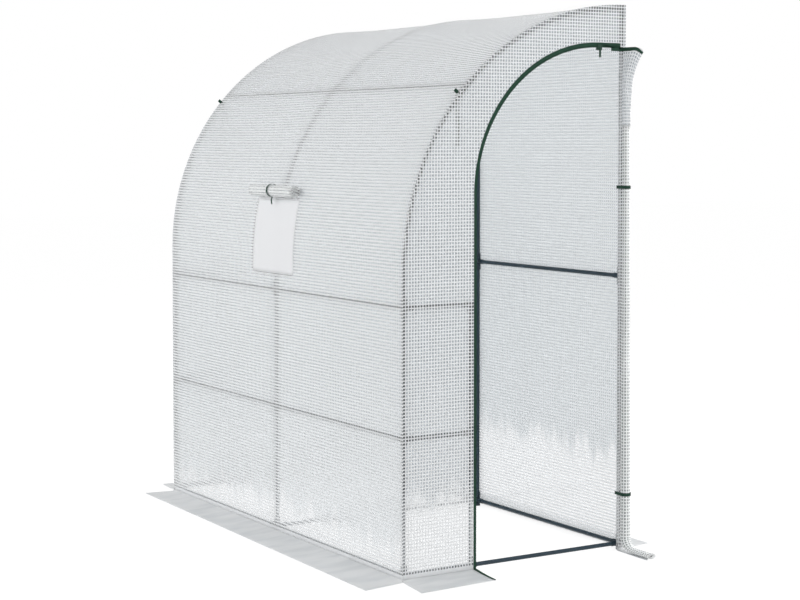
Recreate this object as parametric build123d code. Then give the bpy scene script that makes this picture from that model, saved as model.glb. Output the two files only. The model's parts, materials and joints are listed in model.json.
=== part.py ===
from build123d import *
from math import cos, degrees, radians, sin
import os

# Walk-in greenhouse with a quarter-round roof: steel tubes, push-in fittings and a film cover.
# Millimetres. X runs along the length (+X is the door end), -Y is the front, +Z is up.
# The middle hoop stands at X = 0 here. The files are moved along X at the end, so that their origin
# is on the ground, under the middle of all that lies there.

# Overall sizes, over the outside of the cover
LENGTH = 2000.0
DEPTH = 1020.0
HEIGHT = 2135.0

# Tubes and fittings
TUBE_OD = 16.0
TUBE_WALL = 0.8
SOCKET_WALL = 2.0
SOCKET_DEPTH = 24.0
HUB_EXTRA = 0.8
FIT = 0.1
END_GAP = 0.2

# Heights of the rails
BASE_RAIL_Z = 25.0
LOWER_PURLIN_Z = 523.0
UPPER_PURLIN_DROP = 125.0
BACK_RAIL_Z = 1080.0
ROOF_PURLIN_ANGLE = 43.5

# Film cover and its skirt on the ground
FILM = 1.0
FILM_GAP = 0.3
SEAM_GAP = 0.2
SKIRT_REACH = 165.0
SKIRT_BEND = 20.0

# Doorway in the near end
END_PANEL = 320.0
POST_SET = 17.0
DOOR_SEAM = 27.0
DOOR_HEAD = 167.0
DOOR_TOP_RUN = 104.0
ZIP_SIDE = 10.0
ZIP_TOP = 18.0
ZIP_THICK = 1.6

# Door flap, rolled up and tied at the back edge of the near end
DOOR_ROLL_R = 32.0
DOOR_ROLL_GAP = 6.0
DOOR_ROLL_IN = 33.0
DOOR_ROLL_TOP = 1665.0
DOOR_FOOT_RISE = 90.0
DOOR_FOOT_THICK = 16.0
TOP_FOLD_IN = 45.0
TOP_FOLD_OUT = 33.0
TOP_FOLD_STAND = 100.0
TOP_FOLD_HALF = 11.0

# Zip slider and its pull
SLIDER_LENGTH = 22.0
SLIDER_IN = 11.0
SLIDER_LAP = 10.0
SLIDER_PLATE = 3.3
SLIDER_GAP = 0.6
PIN_R = 1.5
PIN_FIT = 0.05
PIN_HEAD_R = 3.0
PIN_HEAD = 1.0
PULL_LENGTH = 34.0
PULL_WIDTH = 9.0
PULL_THICK = 2.0
PULL_GAP = 0.3

# Window in the front, with its flap rolled up above it
WINDOW_X = -15.0
WINDOW_WIDTH = 355.0
WINDOW_DROP = 60.0
WINDOW_RISE = 247.0
WINDOW_ROLL_R = 26.0
WINDOW_ROLL_GAP = 5.0
WINDOW_ROLL_LIFT = 26.0
WINDOW_SEAM_LIFT = 21.0
FLAP_LAP = 6.0

# Straps
STRAP_WIDTH = 12.0
STRAP_THICK = 1.2
STRAP_EASE = 0.4
LOWER_TIE_Z = 230.0
UPPER_TIE_DROP = 237.0
WINDOW_TIE_X = -30.0
WINDOW_TAIL = 62.0
COVER_TIE_DROP = 48.0
COVER_TAB = 20.0
COVER_TAIL = 200.0

# Worked out from the sizes above
TUBE_R = TUBE_OD / 2
SOCKET_BORE_R = TUBE_R + FIT
SOCKET_R = SOCKET_BORE_R + SOCKET_WALL
HUB_R = SOCKET_R + HUB_EXTRA
SEAT = HUB_R
SOCKET_REACH = SEAT + SOCKET_DEPTH
TUBE_START = SEAT + END_GAP
INSET = HUB_R + FILM_GAP + FILM
X_OUT = LENGTH / 2
Y_OUT = DEPTH / 2
X_END = X_OUT - INSET
Y_FRONT = -Y_OUT + INSET
Y_BACK = Y_OUT - INSET
Z_RIDGE = HEIGHT - INSET
ARC_R = Y_BACK - Y_FRONT
Z_SPRING = Z_RIDGE - ARC_R
UPPER_PURLIN_Z = Z_SPRING - UPPER_PURLIN_DROP
COVER_R = ARC_R + INSET
ZIP_Y = -Y_OUT + END_PANEL
POST_Y = ZIP_Y - POST_SET
SEAM_Y = Y_OUT - DOOR_SEAM
DOOR_TOP = HEIGHT - DOOR_HEAD
DOOR_ARC_Y = SEAM_Y - DOOR_TOP_RUN
DOOR_ARC_R = DOOR_ARC_Y - ZIP_Y
DOOR_ARC_Z = DOOR_TOP - DOOR_ARC_R
HOOPS = {"near": X_END, "middle": 0.0, "far": -X_END}
ENDS = {"near": X_END, "far": -X_END}
UP, DOWN = (0, 0, 1), (0, 0, -1)
TO_BACK, TO_FRONT = (0, 1, 0), (0, -1, 0)
TO_NEAR, TO_FAR = (1, 0, 0), (-1, 0, 0)

nodes = {}


# Shapes that repeat
def rod(start, end, radius):
    run = Vector(*end) - Vector(*start)
    upright = Cylinder(radius, run.length, align=(Align.CENTER, Align.CENTER, Align.MIN))
    return Plane(origin=start, z_dir=run) * upright


def block(low, high):
    size = [b - a for a, b in zip(low, high)]
    return Pos(*low) * Box(*size, align=Align.MIN)


def on_arc(angle, radius):
    """Y and Z of a point of the roof's quarter circle, from 0 at the spring line to 90 at the ridge."""
    turn = radians(angle)
    return Y_BACK - radius * cos(turn), Z_SPRING + radius * sin(turn)


def arc_angle(length, radius):
    return degrees(length / radius)


def arc_rod(x, low, high, radius):
    """Part of a round bar bent to the roof's quarter circle, between two angles."""
    turn = radians(low)
    section = Plane(origin=(x, *on_arc(low, ARC_R)), z_dir=(0, sin(turn), cos(turn))) * Circle(radius)
    return revolve(section, Axis((x, Y_BACK, Z_SPRING), TO_FAR), high - low)


def span(hub_a, hub_b):
    """A tube between two fittings, seated in the socket of each."""
    run = Vector(*hub_b) - Vector(*hub_a)
    step = run.normalized() * TUBE_START
    start = tuple(Vector(*hub_a) + step)
    end = tuple(Vector(*hub_b) - step)
    return rod(start, end, TUBE_R) - rod(start, end, TUBE_R - TUBE_WALL)


def arc_span(x, low, high):
    return arc_rod(x, low, high, TUBE_R) - arc_rod(x, low, high, TUBE_R - TUBE_WALL)


def along(hub, direction, distance):
    return tuple(Vector(*hub) + Vector(*direction) * distance)


def socket_bore(hub, arm):
    return rod(along(hub, arm, SEAT), along(hub, arm, SOCKET_REACH), SOCKET_BORE_R)


def sleeve(hub, axis):
    """Main run of a fitting that slides on a tube: its outside, and its bore."""
    ends = [along(hub, axis, side * SOCKET_DEPTH) for side in (-1, 1)]
    return rod(*ends, HUB_R), [rod(*ends, SOCKET_BORE_R)]


def upright(hub, below, above, sockets):
    """Main run of a fitting that stands upright: its outside, and its sockets."""
    outside = rod(along(hub, DOWN, below), along(hub, UP, above), HUB_R)
    return outside, [socket_bore(hub, arm) for arm in sockets]


def arched(x, angle):
    """Main run of a roof fitting, bent to the roof's arc: its outside, and its two sockets."""
    reach = arc_angle(SOCKET_REACH, ARC_R)
    seat = arc_angle(SEAT, ARC_R)
    bores = [arc_rod(x, angle - reach, angle - seat, SOCKET_BORE_R)]
    bores.append(arc_rod(x, angle + seat, angle + reach, SOCKET_BORE_R))
    return arc_rod(x, angle - reach, angle + reach, HUB_R), bores


def fitting(hub, run, arms):
    """A moulded fitting: its main run, and a socket for each arm."""
    body, bores = run
    for arm in arms:
        body += rod(hub, along(hub, arm, SOCKET_REACH), SOCKET_R)
        bores.append(socket_bore(hub, arm))
    return body - bores


def side_arms(x):
    """Directions in which the rails leave a hoop: one way at the ends, both ways in the middle."""
    if x > 0:
        return [TO_FAR]
    if x < 0:
        return [TO_NEAR]
    return [TO_NEAR, TO_FAR]


def band(low_z, high_angle, inner, outer):
    """Strip of the front wall and roof in side view, between two distances from the tubes' line."""
    far, near = ARC_R + outer, ARC_R + inner
    half = high_angle / 2
    return make_face(
        [
            Line((Y_FRONT - outer, low_z), on_arc(0, far)),
            ThreePointArc(on_arc(0, far), on_arc(half, far), on_arc(high_angle, far)),
            Line(on_arc(high_angle, far), on_arc(high_angle, near)),
            ThreePointArc(on_arc(high_angle, near), on_arc(half, near), on_arc(0, near)),
            Line(on_arc(0, near), (Y_FRONT - inner, low_z)),
            Line((Y_FRONT - inner, low_z), (Y_FRONT - outer, low_z)),
        ]
    )


def across(face, x_low, x_high):
    """Pushes a side view along X."""
    return extrude(Pos(x_low, 0, 0) * (Plane.YZ * face), x_high - x_low, dir=TO_NEAR)


def skirt(start, outward, run, inner, outer):
    """Strip that leaves the wall downwards, bends out and lies on the ground."""
    plane = Plane(origin=start, x_dir=outward, z_dir=Vector(*outward).cross(Vector(*UP)))
    centre_z = FILM + SKIRT_BEND

    def bend(radius, angle):
        return SKIRT_BEND - radius * cos(radians(angle)), centre_z - radius * sin(radians(angle))

    wide, tight = SKIRT_BEND - inner, SKIRT_BEND - outer
    face = make_face(
        [
            Line((outer, BASE_RAIL_Z), bend(tight, 0)),
            ThreePointArc(bend(tight, 0), bend(tight, 45), bend(tight, 90)),
            Line(bend(tight, 90), (SKIRT_REACH, FILM + outer)),
            Line((SKIRT_REACH, FILM + outer), (SKIRT_REACH, FILM + inner)),
            Line((SKIRT_REACH, FILM + inner), bend(wide, 90)),
            ThreePointArc(bend(wide, 90), bend(wide, 45), bend(wide, 0)),
            Line(bend(wide, 0), (inner, BASE_RAIL_Z)),
            Line((inner, BASE_RAIL_Z), (outer, BASE_RAIL_Z)),
        ]
    )
    return extrude(plane * face, run)


# Hoops: five tubes each
for name, x in HOOPS.items():
    base_front = (x, Y_FRONT, BASE_RAIL_Z)
    purlin = (x, Y_FRONT, UPPER_PURLIN_Z)
    base_back = (x, Y_BACK, BASE_RAIL_Z)
    back_rail = (x, Y_BACK, BACK_RAIL_Z)
    ridge = (x, Y_BACK, Z_RIDGE)
    start_angle = arc_angle(TUBE_START, ARC_R)
    bend_end = ROOF_PURLIN_ANGLE - start_angle
    foot_end = (x, Y_FRONT, Z_SPRING)
    foot_start = along(purlin, UP, TUBE_START)
    arch = rod(foot_start, foot_end, TUBE_R) + arc_rod(x, 0, bend_end, TUBE_R)
    arch -= rod(foot_start, foot_end, TUBE_R - TUBE_WALL)
    arch -= arc_rod(x, 0, bend_end, TUBE_R - TUBE_WALL)
    nodes[f"{name}_front_leg"] = [span(base_front, purlin)]
    nodes[f"{name}_lower_arch"] = [arch]
    nodes[f"{name}_upper_arch"] = [arc_span(x, ROOF_PURLIN_ANGLE + start_angle, 90 - start_angle)]
    nodes[f"{name}_lower_back_post"] = [span(base_back, back_rail)]
    nodes[f"{name}_upper_back_post"] = [span(back_rail, ridge)]

# Rails between the hoops, two lengths each
RAIL_LINES = {
    "front_base_rails": (Y_FRONT, BASE_RAIL_Z),
    "back_base_rails": (Y_BACK, BASE_RAIL_Z),
    "lower_purlins": (Y_FRONT, LOWER_PURLIN_Z),
    "upper_purlins": (Y_FRONT, UPPER_PURLIN_Z),
    "roof_purlins": on_arc(ROOF_PURLIN_ANGLE, ARC_R),
    "back_rails": (Y_BACK, BACK_RAIL_Z),
    "ridge_rails": (Y_BACK, Z_RIDGE),
}
for name, (y, z) in RAIL_LINES.items():
    nodes[name] = [span((0, y, z), (x, y, z)) for x in ENDS.values()]

# Rails across the depth, and the end frames beside the door
for name, x in HOOPS.items():
    nodes[f"{name}_base_rail"] = [span((x, Y_FRONT, BASE_RAIL_Z), (x, Y_BACK, BASE_RAIL_Z))]
for name, x in ENDS.items():
    for brace, z in (("lower", LOWER_PURLIN_Z), ("upper", UPPER_PURLIN_Z)):
        nodes[f"{name}_{brace}_brace"] = [span((x, Y_FRONT, z), (x, POST_Y, z))]
    nodes[f"{name}_door_post"] = [span((x, POST_Y, BASE_RAIL_Z), (x, POST_Y, UPPER_PURLIN_Z))]

# Push-in fittings
base_corners = []
base_middles = []
lower_tees = []
upper_tees = []
roof_crosses = []
ridge_tees = []
back_crosses = []
for x in HOOPS.values():
    sides = side_arms(x)
    brace = [TO_BACK] if x else []
    base_fittings = base_corners if x else base_middles
    for y, inward in ((Y_FRONT, TO_BACK), (Y_BACK, TO_FRONT)):
        hub = (x, y, BASE_RAIL_Z)
        run = upright(hub, BASE_RAIL_Z, SOCKET_REACH, [UP])
        base_fittings.append(fitting(hub, run, [inward, *sides]))
    hub = (x, Y_FRONT, LOWER_PURLIN_Z)
    lower_tees.append(fitting(hub, sleeve(hub, UP), sides + brace))
    hub = (x, Y_FRONT, UPPER_PURLIN_Z)
    upper_tees.append(fitting(hub, upright(hub, SOCKET_REACH, SOCKET_REACH, [UP, DOWN]), sides + brace))
    hub = (x, *on_arc(ROOF_PURLIN_ANGLE, ARC_R))
    roof_crosses.append(fitting(hub, arched(x, ROOF_PURLIN_ANGLE), sides))
    hub = (x, Y_BACK, Z_RIDGE)
    outside, bores = upright(hub, SOCKET_REACH, HUB_R, [DOWN])
    outside += arc_rod(x, 90 - arc_angle(SOCKET_REACH, ARC_R), 90, SOCKET_R)
    seat_angle = 90 - arc_angle(SEAT, ARC_R)
    bores.append(arc_rod(x, 90 - arc_angle(SOCKET_REACH, ARC_R), seat_angle, SOCKET_BORE_R))
    ridge_tees.append(fitting(hub, (outside, bores), sides))
    hub = (x, Y_BACK, BACK_RAIL_Z)
    back_crosses.append(fitting(hub, upright(hub, SOCKET_REACH, SOCKET_REACH, [UP, DOWN]), sides))
post_fittings = []
for x in ENDS.values():
    hub = (x, POST_Y, BASE_RAIL_Z)
    post_fittings.append(fitting(hub, sleeve(hub, TO_BACK), [UP]))
    hub = (x, POST_Y, LOWER_PURLIN_Z)
    post_fittings.append(fitting(hub, sleeve(hub, UP), [TO_FRONT]))
    hub = (x, POST_Y, UPPER_PURLIN_Z)
    post_fittings.append(fitting(hub, upright(hub, SOCKET_REACH, HUB_R, [DOWN]), [TO_FRONT]))
nodes["base_corner_fittings"] = base_corners
nodes["base_middle_fittings"] = base_middles
nodes["lower_purlin_fittings"] = lower_tees
nodes["upper_purlin_fittings"] = upper_tees
nodes["roof_purlin_fittings"] = roof_crosses
nodes["ridge_fittings"] = ridge_tees
nodes["back_rail_fittings"] = back_crosses
nodes["door_post_fittings"] = post_fittings

# Front and roof sheet, with the window hole and the screen that fills it
INNER_FACE = INSET - FILM
window_low = Z_SPRING - WINDOW_DROP
window_top = arc_angle(WINDOW_RISE, COVER_R)
window_half = WINDOW_WIDTH / 2
window_sides = (WINDOW_X - window_half, WINDOW_X + window_half)
roof_sheet = across(band(BASE_RAIL_Z, 90, INNER_FACE, INSET), -X_OUT, X_OUT)
roof_sheet += block((-X_OUT, Y_BACK, HEIGHT - FILM), (X_OUT, Y_OUT, HEIGHT))
roof_sheet -= across(band(window_low, window_top, 0, 2 * INSET), *window_sides)
nodes["front_roof_sheet"] = [roof_sheet]
screen_top = window_top - arc_angle(SEAM_GAP, COVER_R)
screen_face = band(window_low + SEAM_GAP, screen_top, INNER_FACE, INSET)
nodes["window_screen"] = [across(screen_face, window_sides[0] + SEAM_GAP, window_sides[1] - SEAM_GAP)]
back_low = (-X_OUT, Y_OUT - FILM, BASE_RAIL_Z)
nodes["back_sheet"] = [block(back_low, (X_OUT, Y_OUT, HEIGHT - FILM - SEAM_GAP))]

# End sheets: the whole end in side view, and the doorway cut from the near one
end_inset = FILM + SEAM_GAP
end_r = COVER_R - end_inset
end_back = Y_OUT - end_inset
end_top = HEIGHT - end_inset
end_front = -Y_OUT + end_inset
end_face = make_face(
    [
        Line((end_front, BASE_RAIL_Z), on_arc(0, end_r)),
        ThreePointArc(on_arc(0, end_r), on_arc(45, end_r), on_arc(90, end_r)),
        Line(on_arc(90, end_r), (end_back, end_top)),
        Line((end_back, end_top), (end_back, BASE_RAIL_Z)),
        Line((end_back, BASE_RAIL_Z), (end_front, BASE_RAIL_Z)),
    ]
)


def door_arc(angle, radius, centre_y, centre_z):
    return centre_y - radius * cos(radians(angle)), centre_z + radius * sin(radians(angle))


inner_arc = [door_arc(angle, DOOR_ARC_R, DOOR_ARC_Y, DOOR_ARC_Z) for angle in (0, 45, 90)]
doorway = make_face(
    [
        Line((ZIP_Y, 0), inner_arc[0]),
        ThreePointArc(*inner_arc),
        Line(inner_arc[2], (SEAM_Y, DOOR_TOP)),
        Line((SEAM_Y, DOOR_TOP), (SEAM_Y, 0)),
        Line((SEAM_Y, 0), (ZIP_Y, 0)),
    ]
)
door_cut = across(doorway, X_OUT - 2 * FILM, X_OUT + FILM)
nodes["near_end_sheet"] = [across(end_face, X_OUT - FILM, X_OUT) - door_cut]
nodes["far_end_sheet"] = [across(end_face, -X_OUT, -X_OUT + FILM)]

# Skirts
nodes["front_skirt"] = [skirt((X_OUT, -Y_OUT, 0), TO_FRONT, LENGTH, -FILM, 0)]
nodes["back_skirt"] = [skirt((-X_OUT, Y_OUT, 0), TO_BACK, LENGTH, -FILM, 0)]
nodes["near_end_skirt"] = [skirt((X_OUT, ZIP_Y, 0), TO_NEAR, END_PANEL - end_inset, -FILM, 0)]
nodes["far_end_skirt"] = [skirt((-X_OUT, end_front, 0), TO_FAR, end_back - end_front, -FILM, 0)]

# Zip tape: round the doorway, wider at the top, and out along the edge of the skirt
tape_r = DOOR_ARC_R + (ZIP_SIDE + ZIP_TOP) / 2
tape_y = ZIP_Y - ZIP_SIDE + tape_r
tape_z = DOOR_TOP + ZIP_TOP - tape_r
outer_arc = [door_arc(angle, tape_r, tape_y, tape_z) for angle in (90, 45, 0)]
tape_face = make_face(
    [
        Line((ZIP_Y, BASE_RAIL_Z), inner_arc[0]),
        ThreePointArc(*inner_arc),
        Line(inner_arc[2], (SEAM_Y, DOOR_TOP)),
        Line((SEAM_Y, DOOR_TOP), (SEAM_Y, DOOR_TOP + ZIP_TOP)),
        Line((SEAM_Y, DOOR_TOP + ZIP_TOP), outer_arc[0]),
        ThreePointArc(*outer_arc),
        Line(outer_arc[2], (ZIP_Y - ZIP_SIDE, BASE_RAIL_Z)),
        Line((ZIP_Y - ZIP_SIDE, BASE_RAIL_Z), (ZIP_Y, BASE_RAIL_Z)),
    ]
)
tape = across(tape_face, X_OUT, X_OUT + ZIP_THICK)
tape += skirt((X_OUT, ZIP_Y, 0), TO_NEAR, ZIP_SIDE, 0, ZIP_THICK)
nodes["door_zip_tape"] = [tape]

# Zip slider: a bridge inside the doorway and a plate on each side of the tape
plate_in = X_OUT - FILM - SLIDER_GAP
plate_out = X_OUT + ZIP_THICK + SLIDER_GAP
slider_face = plate_out + SLIDER_PLATE
slider_back = plate_in - SLIDER_PLATE
bridge_top = DOOR_TOP - SLIDER_GAP
slider_y = (DOOR_ARC_Y - SLIDER_LENGTH / 2, DOOR_ARC_Y + SLIDER_LENGTH / 2)
slider_low = DOOR_TOP - SLIDER_IN
slider_high = DOOR_TOP + SLIDER_LAP
slider = block((slider_back, slider_y[0], slider_low), (slider_face, slider_y[1], slider_high))
slider -= block((plate_in, slider_y[0], bridge_top), (plate_out, slider_y[1], slider_high))
pin = (slider_face, DOOR_ARC_Y, DOOR_TOP - SLIDER_IN / 2)
head = along(pin, TO_NEAR, PULL_THICK + 2 * PULL_GAP)
slider += rod(pin, head, PIN_R) + rod(head, along(head, TO_NEAR, PIN_HEAD), PIN_HEAD_R)
nodes["zip_slider"] = [slider]

# Zip pull: a tab that swivels on the slider's pin
pull_x = slider_face + PULL_GAP
pull_half = PULL_WIDTH / 2
pull_back = (pull_x, DOOR_ARC_Y, pin[2])
pull_front = along(pull_back, TO_NEAR, PULL_THICK)
pull_low = (pull_x, DOOR_ARC_Y - pull_half, pin[2] - PULL_LENGTH)
pull = block(pull_low, (pull_x + PULL_THICK, DOOR_ARC_Y + pull_half, pin[2]))
pull += rod(pull_back, pull_front, pull_half)
pull -= rod(pull_back, pull_front, PIN_R + PIN_FIT)
nodes["zip_pull"] = [pull]

# Door flap: the roll, with a foot where its own skirt lies out on the ground
roll_x = X_OUT + DOOR_ROLL_GAP + DOOR_ROLL_R
roll_y = Y_OUT - DOOR_ROLL_IN
roll_back = roll_x - DOOR_ROLL_R
roll_front = roll_x + DOOR_ROLL_R
foot_reach = roll_x + SKIRT_REACH
foot_bend = DOOR_FOOT_RISE - DOOR_FOOT_THICK
foot_side = foot_bend * (1 - cos(radians(45)))
sole = FILM
sole_bend = foot_bend / 2
sole_side = sole_bend * (1 - cos(radians(45)))
foot_face = make_face(
    [
        Line((roll_back, DOOR_FOOT_RISE), (roll_front, DOOR_FOOT_RISE)),
        ThreePointArc(
            (roll_front, DOOR_FOOT_RISE),
            (roll_front + foot_side, DOOR_FOOT_THICK + foot_side),
            (roll_front + foot_bend, DOOR_FOOT_THICK),
        ),
        Line((roll_front + foot_bend, DOOR_FOOT_THICK), (foot_reach, DOOR_FOOT_THICK)),
        Line((foot_reach, DOOR_FOOT_THICK), (foot_reach, sole)),
        Line((foot_reach, sole), (roll_back + sole_bend, sole)),
        ThreePointArc(
            (roll_back + sole_bend, sole),
            (roll_back + sole_side, sole + sole_side),
            (roll_back, sole + sole_bend),
        ),
        Line((roll_back, sole + sole_bend), (roll_back, DOOR_FOOT_RISE)),
    ]
)
foot_plane = Plane(origin=(0, roll_y + DOOR_ROLL_R, 0), x_dir=TO_NEAR, z_dir=TO_FRONT)
roll_foot = extrude(foot_plane * foot_face, 2 * DOOR_ROLL_R)
roll = rod((roll_x, roll_y, DOOR_FOOT_RISE), (roll_x, roll_y, DOOR_ROLL_TOP), DOOR_ROLL_R)
nodes["door_roll"] = [roll + roll_foot]

# Short flap that joins the door's seam to the roll
sewn_y = SEAM_Y + SEAM_GAP
flap_face = Polyline(
    (X_OUT + SEAM_GAP, sewn_y),
    (X_OUT + SEAM_GAP + FILM, sewn_y),
    (roll_back - 2 * FILM, roll_y),
    (roll_back - 3 * FILM, roll_y),
    close=True,
)
flap_low = BASE_RAIL_Z + SEAM_GAP
door_flap = extrude(Pos(0, 0, flap_low) * make_face(flap_face), DOOR_ROLL_TOP - flap_low)
nodes["door_flap_sheet"] = [door_flap]


def four_arcs(centre, long_half, short_half, turn):
    """A rounded outline of four arcs about a centre, longer one way than the other."""
    long_way = Vector(cos(radians(turn)), sin(radians(turn)), 0)
    short_way = Vector(-sin(radians(turn)), cos(radians(turn)), 0)

    def at(angle):
        step = long_way * (long_half * cos(radians(angle)))
        return Vector(*centre) + step + short_way * (short_half * sin(radians(angle)))

    arcs = [ThreePointArc(at(a), at(a + 45), at(a + 90)) for a in (0, 90, 180, 270)]
    return make_face(arcs)


# Loose top of the door flap: it opens from the roll to a long fold under the zip's end
fold_start = Vector(X_OUT + TOP_FOLD_HALF + ZIP_THICK, SEAM_Y - TOP_FOLD_IN, 0)
fold_end = Vector(X_OUT + TOP_FOLD_STAND, SEAM_Y + TOP_FOLD_OUT, 0)
fold_run = fold_end - fold_start
fold_middle = (fold_start + fold_end) / 2
fold_top = DOOR_TOP
fold_turn = Vector(1, 0, 0).get_angle(fold_run)
low_outline = four_arcs((roll_x, roll_y, DOOR_ROLL_TOP + END_GAP), DOOR_ROLL_R, DOOR_ROLL_R, fold_turn)
top_centre = (fold_middle.X, fold_middle.Y, fold_top)
top_outline = four_arcs(top_centre, fold_run.length / 2, TOP_FOLD_HALF, fold_turn)
nodes["door_flap_top"] = [loft([low_outline, top_outline], ruled=True)]

# Door ties: a strap round the roll and a tab on the end sheet
tie_r = DOOR_ROLL_R + STRAP_EASE
tab_low_y = max(roll_y, sewn_y) + STRAP_THICK
tab_high_y = end_back - STRAP_EASE
door_ties = []
for z in (LOWER_TIE_Z, DOOR_ROLL_TOP - UPPER_TIE_DROP):
    low, high = z - STRAP_WIDTH / 2, z + STRAP_WIDTH / 2
    bottom, top = (roll_x, roll_y, low), (roll_x, roll_y, high)
    loop = rod(bottom, top, tie_r + STRAP_THICK)
    loop += block((X_OUT, tab_low_y, low), (roll_x, tab_high_y, high))
    loop -= rod(bottom, top, tie_r)
    door_ties.append(loop)
nodes["door_ties"] = door_ties

# Window flap: the roll above the window, the short flap at its seam and its tie
window_roll_r = COVER_R + WINDOW_ROLL_GAP + WINDOW_ROLL_R
window_roll_angle = window_top + arc_angle(WINDOW_ROLL_LIFT, COVER_R)
window_roll_at = on_arc(window_roll_angle, window_roll_r)
flap_sides = (window_sides[0] - FLAP_LAP, window_sides[1] + FLAP_LAP)
roll_ends = [(x, *window_roll_at) for x in flap_sides]
nodes["window_roll"] = [rod(*roll_ends, WINDOW_ROLL_R)]
window_seam = window_roll_angle + arc_angle(WINDOW_SEAM_LIFT, COVER_R)
sewn_r = COVER_R + SEAM_GAP
loose_r = COVER_R + WINDOW_ROLL_GAP - 3 * FILM
window_flap_face = make_face(
    Polyline(
        on_arc(window_seam, sewn_r),
        on_arc(window_seam, sewn_r + FILM),
        on_arc(window_roll_angle, loose_r + FILM),
        on_arc(window_roll_angle, loose_r),
        close=True,
    )
)
nodes["window_flap_sheet"] = [across(window_flap_face, *flap_sides)]

window_tie_r = WINDOW_ROLL_R + STRAP_EASE
strap_half = STRAP_WIDTH / 2
tie_low, tie_high = WINDOW_TIE_X - strap_half, WINDOW_TIE_X + strap_half
tie_ends = [(x, *window_roll_at) for x in (tie_low, tie_high)]
tab_angle = window_roll_angle - arc_angle(WINDOW_ROLL_LIFT / 2, COVER_R)
tab_top_angle = window_roll_angle - arc_angle(STRAP_THICK, COVER_R)
tab_face = make_face(
    Polyline(
        on_arc(tab_angle, COVER_R + SEAM_GAP),
        on_arc(tab_top_angle, COVER_R + SEAM_GAP),
        on_arc(tab_top_angle, COVER_R + WINDOW_ROLL_GAP + WINDOW_ROLL_R),
        on_arc(tab_angle, COVER_R + WINDOW_ROLL_GAP + WINDOW_ROLL_R),
        close=True,
    )
)
window_tie = rod(*tie_ends, window_tie_r + STRAP_THICK) + across(tab_face, tie_low, tie_high)
tail_y = window_roll_at[0] - window_tie_r
tail_low = (tie_low, tail_y - STRAP_THICK, window_roll_at[1] - WINDOW_TAIL)
window_tie += block(tail_low, (tie_high, tail_y, window_roll_at[1]))
window_tie -= rod(*tie_ends, window_tie_r)
nodes["window_tie"] = [window_tie]

# Cover ties: a tab outside on each end hoop, and a strap tied round the tube inside
cover_tie_angle = ROOF_PURLIN_ANGLE - arc_angle(COVER_TIE_DROP, ARC_R)
half_angle = arc_angle(strap_half, ARC_R)
strap_r = SOCKET_BORE_R + STRAP_THICK
cover_ties = []
for x in ENDS.values():
    inward = -1 if x > 0 else 1
    turn = radians(cover_tie_angle)
    tab_base = (x, *on_arc(cover_tie_angle, COVER_R + END_GAP))
    tab_plane = Plane(origin=tab_base, x_dir=TO_NEAR, z_dir=(0, -cos(turn), sin(turn)))
    cover_ties.append(extrude(tab_plane * Rectangle(STRAP_WIDTH, 2 * STRAP_THICK), COVER_TAB))
    low, high = cover_tie_angle - half_angle, cover_tie_angle + half_angle
    loop = arc_rod(x, low, high, strap_r) - arc_rod(x, low, high, SOCKET_BORE_R)
    loop_y, loop_z = on_arc(cover_tie_angle, ARC_R)
    tail_faces = sorted(x + inward * (SOCKET_BORE_R + step) for step in (FIT, FIT + STRAP_THICK))
    tail_start = (tail_faces[0], loop_y - strap_half, loop_z - COVER_TAIL)
    loop += block(tail_start, (tail_faces[1], loop_y + strap_half, loop_z))
    cover_ties.append(loop)
nodes["cover_ties"] = cover_ties

# One file for each node, with the origin midway between the far skirt and the foot of the door's roll
ORIGIN_X = (foot_reach - (X_OUT + SKIRT_REACH)) / 2
os.makedirs("parts", exist_ok=True)
for name, solids in nodes.items():
    pieces = [Pos(-ORIGIN_X, 0, 0) * solid for shape in solids for solid in shape.solids()]
    whole = pieces[0] if len(pieces) == 1 else Compound(children=pieces)
    export_step(whole, f"parts/{name}.step")
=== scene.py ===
# Walk-in greenhouse with a quarter-round roof: the film cover, skirts, rolled flaps, zip and ties round the
# packed tube frame. Metres, in the frame's own axes: +X is the door end, -Y the front and +Z up.
import json
import math

import bpy
import numpy as np
from mathutils import Euler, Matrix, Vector, noise

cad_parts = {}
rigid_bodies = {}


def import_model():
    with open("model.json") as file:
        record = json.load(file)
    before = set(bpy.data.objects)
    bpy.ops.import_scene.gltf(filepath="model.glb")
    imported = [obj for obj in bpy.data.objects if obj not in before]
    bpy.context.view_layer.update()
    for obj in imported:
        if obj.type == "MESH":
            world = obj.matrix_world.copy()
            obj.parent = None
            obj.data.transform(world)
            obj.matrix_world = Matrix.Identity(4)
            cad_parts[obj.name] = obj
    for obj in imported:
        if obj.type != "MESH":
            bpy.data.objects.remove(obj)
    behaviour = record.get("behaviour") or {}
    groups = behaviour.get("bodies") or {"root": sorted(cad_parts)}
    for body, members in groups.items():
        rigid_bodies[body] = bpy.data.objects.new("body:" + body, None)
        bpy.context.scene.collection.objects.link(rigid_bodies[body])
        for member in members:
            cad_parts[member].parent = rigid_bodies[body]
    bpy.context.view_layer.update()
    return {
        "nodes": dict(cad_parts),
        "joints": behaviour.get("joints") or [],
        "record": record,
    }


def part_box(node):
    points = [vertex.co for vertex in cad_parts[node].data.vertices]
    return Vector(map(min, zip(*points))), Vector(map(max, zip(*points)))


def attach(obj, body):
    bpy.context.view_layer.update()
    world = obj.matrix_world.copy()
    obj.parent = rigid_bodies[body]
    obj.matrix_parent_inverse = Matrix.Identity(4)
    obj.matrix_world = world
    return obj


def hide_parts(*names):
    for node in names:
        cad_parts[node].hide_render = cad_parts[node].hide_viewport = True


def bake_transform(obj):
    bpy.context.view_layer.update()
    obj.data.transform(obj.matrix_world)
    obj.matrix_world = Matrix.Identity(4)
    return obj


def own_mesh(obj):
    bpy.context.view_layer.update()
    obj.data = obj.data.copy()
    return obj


for leftover in list(bpy.data.objects):
    bpy.data.objects.remove(leftover)
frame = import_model()
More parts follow.
